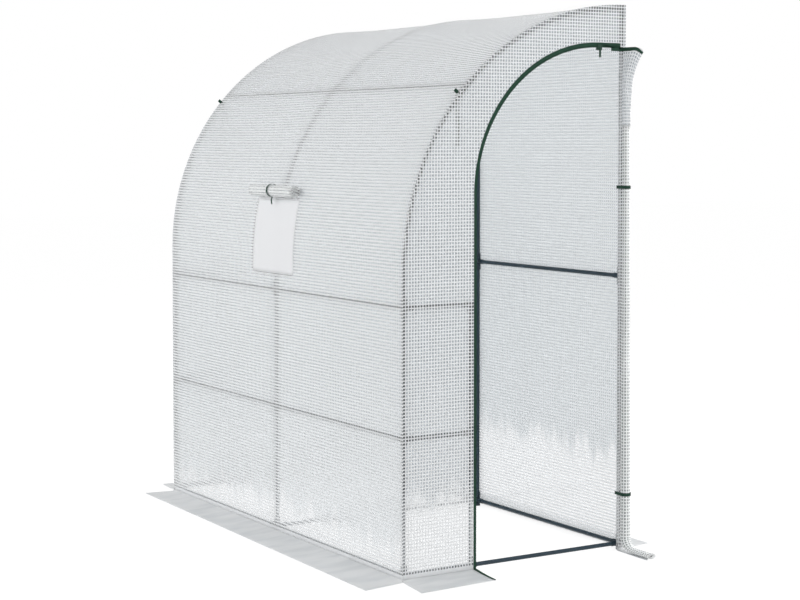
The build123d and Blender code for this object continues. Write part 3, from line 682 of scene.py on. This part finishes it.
def door_roll():
    """The rolled door, from its top down to the foot that turns out on the ground."""
    angle, radii, run = spiral(ROLL_TURNS, WRAP_R, ROLL_CORE, math.pi)
    top = roll_high.z
    ground = FOOT_HALF + FOOT_LIFT
    down = steps([0.0, top - FOOT_BEND], 0.03)
    turn = np.radians(steps([0, 90], 9))[1:]
    foot = steps([0.0, 1.0], 0.2)[1:]
    x = np.concatenate([
        np.full_like(down, WRAP_X),
        WRAP_X + FOOT_BEND * (1 - np.cos(turn)),
        WRAP_X + FOOT_BEND + (roll_high.x - WRAP_X - FOOT_BEND) * foot,
    ])
    z = np.concatenate([
        top - down,
        FOOT_BEND - (FOOT_BEND - ground) * np.sin(turn),
        np.full_like(foot, ground),
    ])
    tilt = np.concatenate([np.zeros_like(down), turn, np.full_like(foot, math.pi / 2)])
    flatten = 1 - (1 - FOOT_HALF / WRAP_R) * np.sin(tilt) ** 2
    length = np.concatenate([[0], np.cumsum(np.hypot(np.diff(x), np.diff(z)))])
    ll, aa = np.meshgrid(length, angle, indexing="ij")
    fine, broad = ROLL_WRINKLES
    pinch, spread = TIE_PINCH
    wrinkle = 1 - fine * np.abs(ripple(ll * 9, aa * 0.8, 21.0))
    wrinkle = wrinkle - broad * np.abs(ripple(ll * 3, aa * 0.3, 22.0))
    for tie in door_tie_heights():
        wrinkle = wrinkle - pinch * np.exp(-(((top - ll) - tie) / spread) ** 2)
    wrap_y, wrap_r = wrap(z)
    size = radii[None] * wrinkle * (wrap_r / WRAP_R)[:, None]
    inward = np.cos(aa) * size * flatten[:, None]
    points = np.stack([
        x[:, None] + inward * np.cos(tilt)[:, None],
        wrap_y[:, None] + np.sin(aa) * size,
        np.maximum(z[:, None] + inward * np.sin(tilt)[:, None], FOOT_LIFT),
    ], -1)
    flat = np.broadcast_to(run[None], ll.shape)
    made = grid_piece("film_door_roll", points, ll, flat, ROLL_LOOK_PAINTED_LIGHT, thick=ROLL_FILM)
    return apply_shell(made), length[-1]


def door_tie_heights():
    """Heights of the door's two ties."""
    low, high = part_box("door_ties")
    half = STRAP_WIDTH / 2
    return low.z + half, high.z - half


def door_flap():
    """The strip of film between the seam and the roll, which pays out over the doorway as the roll moves."""
    low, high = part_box("door_flap_sheet")
    paid = steps([0.0, 1.0], 1 / 30)
    share = 0.5 - np.sin(np.arcsin(1 - 2 * paid) / 3)
    y_rest = high.y + (ROLL_Y - high.y) * share
    y_out = y_rest - DOOR_TRAVEL * paid
    arch = DOOR_Z + np.sqrt(np.maximum(DOOR_R**2 - np.maximum(DOOR_Y - y_out, 0) ** 2, 0))
    tall = steps([0.0, 1.0], 0.02)
    z = low.z + (arch - ZIP_GAP - low.z)[:, None] * tall[None]
    x = low.x + FILM + (high.x - low.x - FILM) * share
    points = np.stack([np.broadcast_to(v[:, None], z.shape) for v in (x, y_rest)] + [z], -1)[::-1]
    flat = np.broadcast_to(y_out[::-1, None], z.shape)
    made = grid_piece("film_door_flap", points, flat, z[::-1], END_LOOK, thick=FLAP_FILM)
    apply_shell(made)
    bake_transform(made)
    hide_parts("door_flap_sheet")
    return made


def door_flap_top():
    """The loose top of the flap: a funnel that opens from the roll to a long fold, with tape on its edge."""
    low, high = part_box("door_flap_top")
    hinge = Vector((X_NEAR + TOP_HINGE[0], ROLL_Y + TOP_HINGE[1], 0))
    end = Vector((high.x, high.y, 0))
    run = end - hinge
    side = Vector((-run.y, run.x, 0)).normalized()
    centre = (hinge + end) / 2
    angle = steps([0.0, 2 * math.pi], math.radians(6))
    down = steps([0.0, 1.0], 0.05)
    dd, aa = np.meshgrid(down, angle, indexing="ij")
    opening = (1 - dd) ** TOP_OPENS
    closing = 1 - opening
    foot_y, foot_r = wrap(low.z)
    along = np.cos(aa) * (foot_r * closing * TOP_FIT + run.length / 2 * opening)
    thick = np.sin(aa) * (foot_r * closing * TOP_FIT + TOP_HALF * opening)
    thick = thick + TOP_WAVE * ripple(dd * 4, np.cos(aa) * 2, 31.0) * np.sin(math.pi * dd)
    direction = run.normalized()
    middle_x = WRAP_X + (centre.x - WRAP_X) * opening
    middle_y = foot_y + (centre.y - foot_y) * opening
    droop = TOP_DROOP * np.clip((np.cos(aa) - 0.3) / 0.7, 0, 1) ** 2 * opening
    points = np.stack([
        middle_x + along * direction.x + thick * side.x,
        middle_y + along * direction.y + thick * side.y,
        high.z + (low.z - high.z) * dd - droop,
    ], -1)
    flat_u = aa / (2 * math.pi) * TOP_ROUND
    flat_v = (1 - dd) * (high.z - low.z)
    made = grid_piece("film_door_flap_top", points[::-1], flat_u[::-1], flat_v[::-1], END_LOOK)
    apply_shell(made)
    edge = [i for i in range(len(angle)) if math.pi * 0.94 <= angle[i]]
    rim = points[0, edge]
    taper = 0.9 - 0.3 * np.clip(np.cos(angle[edge]), 0, 1)
    below = rim + (points[1, edge] - rim) * taper[:, None]
    outward = np.array([side.x, side.y, 0]) * np.where(np.sin(angle[edge]) < 0, -1, 1)[:, None]
    band = np.stack([below, rim + (0, 0, FILM)], 0) + outward * TAPE
    lead = band[:, :1] - np.linspace(hinge.y - low.y + TAPE_LEAD, 0, 5)[None, :-1, None] * (0, 1, 0)
    band = np.concatenate([lead, band], 1)
    us, vs = np.meshgrid([0.0, 0.01], np.linspace(0, 0.13, band.shape[1]), indexing="ij")
    tape = grid_piece("zip_tape_flap_top", band, us, vs, TAPE_LOOK, thick=TAPE)
    apply_shell(tape)
    return made, tape


def door_tie(index, z):
    """A strap that is sewn to the end sheet, goes round the roll and comes back to the sheet behind it."""
    sewn = np.array([X_NEAR + FILM, ROLL_Y - TIE_SEWN])
    wrap_y, wrap_r = wrap(z)
    centre = np.array([WRAP_X, wrap_y])
    radius = wrap_r + STRAP
    away = sewn - centre
    touch = math.atan2(away[1], away[0]) + math.acos(radius / math.hypot(*away))
    turn = steps([touch, math.radians(160)], math.radians(6))
    around = centre + radius * np.stack([np.cos(turn), np.sin(turn)], -1)
    back = Y_BACK - END_INSET - TIE_BACK
    tail = [(X_NEAR + FILM, back - TIE_FLAT), (X_NEAR + FILM, back)]
    return strap_piece(f"strap_door_{index}", np.concatenate([[sewn], around, tail]), z)


def strap_piece(name, path, z):
    """A strap that follows a level path, standing on edge."""
    step = np.concatenate([[0], np.cumsum(np.hypot(*np.diff(path, axis=0).T))])
    heights = np.array([-STRAP_WIDTH / 2, STRAP_WIDTH / 2])
    points = np.stack([np.column_stack([path, np.full(len(path), z + h)]) for h in heights], 1)
    uu, vv = np.meshgrid(step, heights, indexing="ij")
    made = grid_piece(name, points, uu, vv, WEB_LOOK, thick=WEB)
    return apply_shell(made)


def door():
    """The rolled door, the film that it pays out, its loose top and its ties."""
    roll, length = door_roll()
    settle(roll, "door_roll", "film", "door_roll")
    strip = door_flap()
    top, tape = door_flap_top()
    settle(top, "frame", "film", "door_flap_top")
    settle(tape, "frame", "zip_tape")
    for made in (top, tape):
        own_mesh(made)
    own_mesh(roll)
    ties = [door_tie(i, z) for i, z in enumerate(door_tie_heights())]
    for tie in ties:
        settle(tie, "frame", "strap")
        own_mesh(tie)
    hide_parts("door_ties")


def around_arc(angle, radius):
    """Y and Z at an angle up the roof's curve."""
    return ARC_Y - radius * np.cos(angle), Z_SPRING + radius * np.sin(angle)


def window_roll():
    """The rolled window flap, pinched by its tie."""
    low, high = window_roll_low, window_roll_high
    angle, radii, run = spiral(WINDOW_TURNS, WINDOW_R, WINDOW_CORE, 0.0)
    x = steps([low.x, high.x], PITCH)
    xx, aa = np.meshgrid(x, angle, indexing="ij")
    tie_x = middle("window_tie").x
    pinch, spread = WINDOW_PINCH
    wrinkle = 1 - WINDOW_WRINKLE * np.abs(ripple(xx * 12, aa * 0.7, 41.0))
    wrinkle = wrinkle - pinch * np.exp(-((xx - tie_x) / spread) ** 2)
    size = radii[None] * wrinkle
    y = WINDOW_ROLL.y + size * np.cos(aa - WINDOW_ANGLE)
    z = WINDOW_ROLL.z + size * np.sin(aa - WINDOW_ANGLE)
    flat = np.broadcast_to(run[None], xx.shape)
    made = grid_piece("film_window_roll", np.stack([xx, y, z], -1), xx, flat, WINDOW_LOOK)
    apply_shell(made)
    settle(made, "window_roll", "film", "window_roll")
    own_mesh(made)
    return made, run[-1]


def window_flap():
    """The strip between the seam above the window and the roll, which pays out over the window."""
    low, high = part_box("window_flap_sheet")
    seam = math.atan2(high.z - Z_SPRING, ARC_Y - high.y)
    paid = steps([0.0, 1.0], 1 / 20)
    share = 0.5 - np.sin(np.arcsin(1 - 2 * paid) / 3)
    angle = seam + (WINDOW_ANGLE - seam) * share
    radius = COVER_R + FILM + WINDOW_LIFT[0] + WINDOW_LIFT[1] * share
    x = steps([low.x, high.x], PITCH)
    y, z = around_arc(angle, radius)
    points = np.stack(np.broadcast_arrays(x[:, None], y[None], z[None]), -1)
    flat_v = (angle - WINDOW_TURN * paid) * COVER_R
    uu, vv = np.meshgrid(x, flat_v, indexing="ij")
    made = grid_piece("film_window_flap", points[::-1], uu[::-1], vv[::-1], FRONT_LOOK, thick=FLAP_FILM)
    apply_shell(made)
    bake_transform(made)
    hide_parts("window_flap_sheet")
    return made


def window_tie():
    """A strap round the window's roll, with a loose tail."""
    x = middle("window_tie").x
    turn = steps([0.0, math.radians(330)], math.radians(8))
    radius = WINDOW_R + WEB_EASE
    begin = math.radians(-60)
    y = WINDOW_ROLL.y + radius * np.cos(begin + turn)
    z = WINDOW_ROLL.z + radius * np.sin(begin + turn)
    tail = np.array([y[-1], z[-1]]) - WINDOW_TAIL
    path = np.concatenate([np.stack([y, z], -1), tail])
    half = 0.4 * STRAP_WIDTH
    points = np.stack([np.column_stack([np.full(len(path), x + side), path]) for side in (half, -half)], 1)
    step = np.concatenate([[0], np.cumsum(np.hypot(*np.diff(path, axis=0).T))])
    uu, vv = np.meshgrid(step, [half, -half], indexing="ij")
    made = apply_shell(grid_piece("strap_window", points, uu, vv, WEB_LOOK, thick=-WEB))
    settle(made, "frame", "strap", "window_tie")
    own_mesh(made)


def window():
    """The rolled window flap, the film that it pays out and its tie."""
    roll, length = window_roll()
    strip = window_flap()
    window_tie()


# Zip and ties of the cover
def zip_tape():
    """Tape round the doorway, wider over the top, with the zip's teeth on its edge, out along the skirt."""
    low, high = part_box("door_zip_tape")
    narrow, wide = ZIP_Y - low.y, high.z - DOOR_TOP
    z = steps([Z_FOLD, DOOR_Z], PITCH)
    path = [np.stack([np.full_like(z, X_NEAR), np.full_like(z, ZIP_Y), z], -1)]
    turn = np.radians(steps([0, 90], 2))[1:]
    arch_y, arch_z = DOOR_Y - DOOR_R * np.cos(turn), DOOR_Z + DOOR_R * np.sin(turn)
    path.append(np.stack([np.full_like(turn, X_NEAR), arch_y, arch_z], -1))
    y = steps([DOOR_Y, SEAM_Y], PITCH)[1:]
    path.append(np.stack([np.full_like(y, X_NEAR), y, np.full_like(y, DOOR_TOP)], -1))
    inner = np.concatenate(path)
    rise = np.clip((inner[:, 2] - DOOR_Z) / DOOR_R, 0, 1)
    outward = np.stack([np.zeros_like(rise), -np.sqrt(1 - rise**2), rise], -1)
    width = narrow + (wide - narrow) * rise
    t = steps([0.0, 1.0], 0.08)[1:]
    foot = np.stack([X_NEAR + NEAR_REACH[0] * t, ZIP_Y + NEAR_FLARE[0] * t, fold_down(t) + FILM], -1)
    inner = np.concatenate([foot[::-1], inner])
    outward = np.concatenate([np.broadcast_to((0.0, -1.0, 0.0), foot.shape), outward])
    width = np.concatenate([narrow * (1 - 0.5 * t[::-1]), width])
    lift = np.zeros_like(inner)
    lift[len(foot) :, 0] = TAPE_LIFT
    lift[: len(foot), 2] = TAPE_LIFT
    outer = inner + outward * width[:, None]
    points = np.stack([outer + lift, inner + lift], 1)
    run = np.concatenate([[0], np.cumsum(np.linalg.norm(np.diff(inner, axis=0), axis=1))])
    uu, vv = np.meshgrid(run, [0.0, 1.0], indexing="ij")
    made = grid_piece("zip_tape_doorway", points[::-1], uu[::-1], vv[::-1], TAPE_LOOK, thick=TAPE)
    settle(made, "frame", "zip_tape", "door_zip_tape")
    at = np.arange(TOOTH_ENDS, run[-1] - TOOTH_ENDS, TOOTH_PITCH)
    where = np.stack([np.interp(at, run, inner[:, k]) for k in range(3)], -1)
    side = np.stack([np.interp(at, run, outward[:, k]) for k in range(3)], -1)
    up = np.stack([np.interp(at, run, lift[:, k]) for k in range(3)], -1)
    up = up / np.linalg.norm(up, axis=1)[:, None]
    way = np.cross(side, up)
    teeth = []
    for i, j, k in ((i, j, k) for i in (-1, 1) for j in (-1, 1) for k in (-1, 1)):
        across = side * (TOOTH_SET[0] + TOOTH_HALF[0] * i) + way * (TOOTH_HALF[1] * j)
        teeth.append(where + across + up * (TOOTH_SET[1] + TOOTH_HALF[2] * k))
    teeth = np.stack(teeth, 1)
    cube = [(0, 1, 3, 2), (4, 6, 7, 5), (0, 4, 5, 1), (2, 3, 7, 6), (0, 2, 6, 4), (1, 5, 7, 3)]
    faces = [[8 * n + c for c in face] for n in range(len(at)) for face in cube]
    row = mesh_piece("zip_teeth_doorway", teeth.reshape(-1, 3), faces, TAPE_LOOK, smooth=False)
    settle(row, "frame", "zip_tape")


def cover_ties():
    """A webbing tab outside each end hoop, and a strap with a tail round the tube inside."""
    first = None
    half = STRAP_WIDTH / 2
    angle = ROOF_PURLIN - TIE_DROP / TIE_TUBE
    along = np.array([1.0, 0, 0])
    outward = np.array([0, -math.cos(angle), math.sin(angle)])
    tangent = np.array([0, math.sin(angle), math.cos(angle)])
    base_y, base_z = around_arc(angle, COVER_R - FILM)
    tube_y, tube_z = around_arc(angle, TIE_TUBE)
    reach = steps([0.0, TAB_REACH], TAB_REACH / 4)
    fold = np.concatenate([reach, reach[::-1]])
    thick = np.concatenate([np.full_like(reach, -STRAP), np.full_like(reach, STRAP)])
    turn = steps([0.0, 2 * math.pi], math.radians(12))
    ring = np.cos(turn)[:, None] * outward + np.sin(turn)[:, None] * along
    drop = steps([0.0, TIE_TAIL], PITCH)
    for index, hoop in enumerate((HOOPS[0], HOOPS[2])):
        spine = np.array([hoop, base_y, base_z]) + fold[:, None] * outward + thick[:, None] * along
        points = np.stack([spine + side * tangent for side in (half, -half)], 1)
        uu, vv = np.meshgrid(np.arange(len(fold)) * TAB_REACH / 4, [half, -half], indexing="ij")
        tab = grid_piece(f"strap_cover_tab_{index}", points, uu, vv, WEB_LOOK, thick=STRAP)
        settle(tab, "frame", "strap")
        first = first or tab
        loop = np.array([hoop, tube_y, tube_z]) + TIE_RING * ring
        points = np.stack([loop - tangent * half, loop + tangent * half], 1)
        uu, vv = np.meshgrid(turn * TIE_RING, [-half, half], indexing="ij")
        band = grid_piece(f"strap_cover_loop_{index}", points, uu, vv, WEB_LOOK, thick=-TIE_LOOP)
        settle(band, "frame", "strap")
        inward = 1 if index == 0 else -1
        off = inward * (TIE_OFF + np.abs(TIE_SWAY * np.sin(drop * 18 + index)))
        tail = np.stack([hoop + off, np.full_like(drop, tube_y), tube_z - drop], -1)
        points = np.stack([tail + (0, half, 0), tail - (0, half, 0)], 1)
        uu, vv = np.meshgrid(drop, [half, -half], indexing="ij")
        hang = grid_piece(f"strap_cover_tail_{index}", points, uu, vv, WEB_LOOK, thick=STRAP)
        settle(hang, "frame", "strap")
    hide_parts("cover_ties")


def frame_looks():
    """The tubes, fittings and zip metal keep the CAD's shapes and take their finishes."""
    looks = {"tube": TUBE_LOOK, "fitting": FITTING_LOOK, "zip_metal": ZIP_LOOK}
    for part in frame["record"]["subparts"]:
        if part["material_slot"] in looks:
            mesh = frame["nodes"][part["node"]].data
            mesh.materials.clear()
            mesh.materials.append(looks[part["material_slot"]])


# Stage
def seen_by_eye(tree):
    """1 for rays from the camera, straight or by way of shiny or clear things, and 0 for light on the
    object."""
    path = node(tree, "ShaderNodeLightPath").node.outputs
    links = {0: path["Is Camera Ray"], 1: path["Is Glossy Ray"]}
    seen = node(tree, "ShaderNodeMath", links, operation="MAXIMUM")
    return node(tree, "ShaderNodeMath", {0: seen, 1: path["Is Transmission Ray"]}, operation="MAXIMUM")


def lamp(name, place, size, energy):
    """A square soft lamp that points at the middle of the greenhouse."""
    light = bpy.data.lights.new(name, "AREA")
    light.energy = energy
    light.size = size
    holder = bpy.data.objects.new(name, light)
    holder.location = place
    holder.rotation_euler = (Vector((0, 0, 1)) - holder.location).to_track_quat("-Z", "Y").to_euler()
    holder.visible_transmission = False
    bpy.context.scene.collection.objects.link(holder)


def stage():
    """A white floor with a faint shadow, light from all round that is dimmer overhead, and a soft lamp on
    three sides."""
    made, tree, out = material("white studio floor")
    matt = node(tree, "ShaderNodeBsdfDiffuse", {"Color": (0.8, 0.8, 0.8, 1.0)})
    pale = node(tree, "ShaderNodeBsdfDiffuse", {"Color": (0.28, 0.28, 0.28, 1.0)})
    glow = node(tree, "ShaderNodeEmission", {"Color": (1.0, 1.0, 1.0, 1.0), "Strength": 0.87})
    pale = node(tree, "ShaderNodeAddShader", {0: pale, 1: glow})
    both = node(tree, "ShaderNodeMixShader", {0: seen_by_eye(tree), 1: matt, 2: pale})
    tree.links.new(both, out.inputs["Surface"])
    corners = [(-30, -30, 0), (30, -30, 0), (30, 30, 0), (-30, 30, 0)]
    floor = mesh_piece("floor", corners, [(0, 1, 2, 3)], made)
    world = bpy.data.worlds.new("white studio")
    world.use_nodes = True
    tree = world.node_tree
    tree.nodes.clear()
    way = node(tree, "ShaderNodeTexCoord").node.outputs["Generated"]
    up = node(tree, "ShaderNodeSeparateXYZ", {0: way}).node.outputs[2]
    sky = node(tree, "ShaderNodeMapRange", {"Value": up, "To Min": 0.92, "To Max": 0.22})
    level = {"Value": seen_by_eye(tree), "To Min": sky, "To Max": 1.0}
    level = node(tree, "ShaderNodeMapRange", level)
    back = node(tree, "ShaderNodeBackground", {"Color": (1.0, 1.0, 1.0, 1.0), "Strength": level})
    out = tree.nodes.new("ShaderNodeOutputWorld")
    tree.links.new(back, out.inputs["Surface"])
    bpy.context.scene.world = world
    lamp("front lamp", (-1.5, -6.0, 2.6), 4.0, 130)
    lamp("door lamp", (6.5, 1.0, 3.0), 4.0, 120)
    lamp("back lamp", (-1.0, 6.0, 2.6), 4.0, 140)


def camera():
    """The photo's place, found from its vanishing lines."""
    lens = bpy.data.cameras.new("camera")
    lens.lens = 79.79
    lens.sensor_width = 36.0
    lens.shift_y = -0.1
    holder = bpy.data.objects.new("camera", lens)
    holder.location = (6.412, -3.8737, 1.6021)
    yaw, pitch = math.radians(148.32), math.radians(-2.511)
    holder.rotation_euler = Euler((math.pi / 2 + pitch, 0, yaw - math.pi / 2))
    bpy.context.scene.collection.objects.link(holder)
    bpy.context.scene.camera = holder


frame_looks()
front_cover()
back_cover()
near_end()
far_end()
skirts()
window_screen()
door()
window()
zip_tape()
cover_ties()
stage()
camera()
bpy.context.scene.view_settings.view_transform = "Standard"
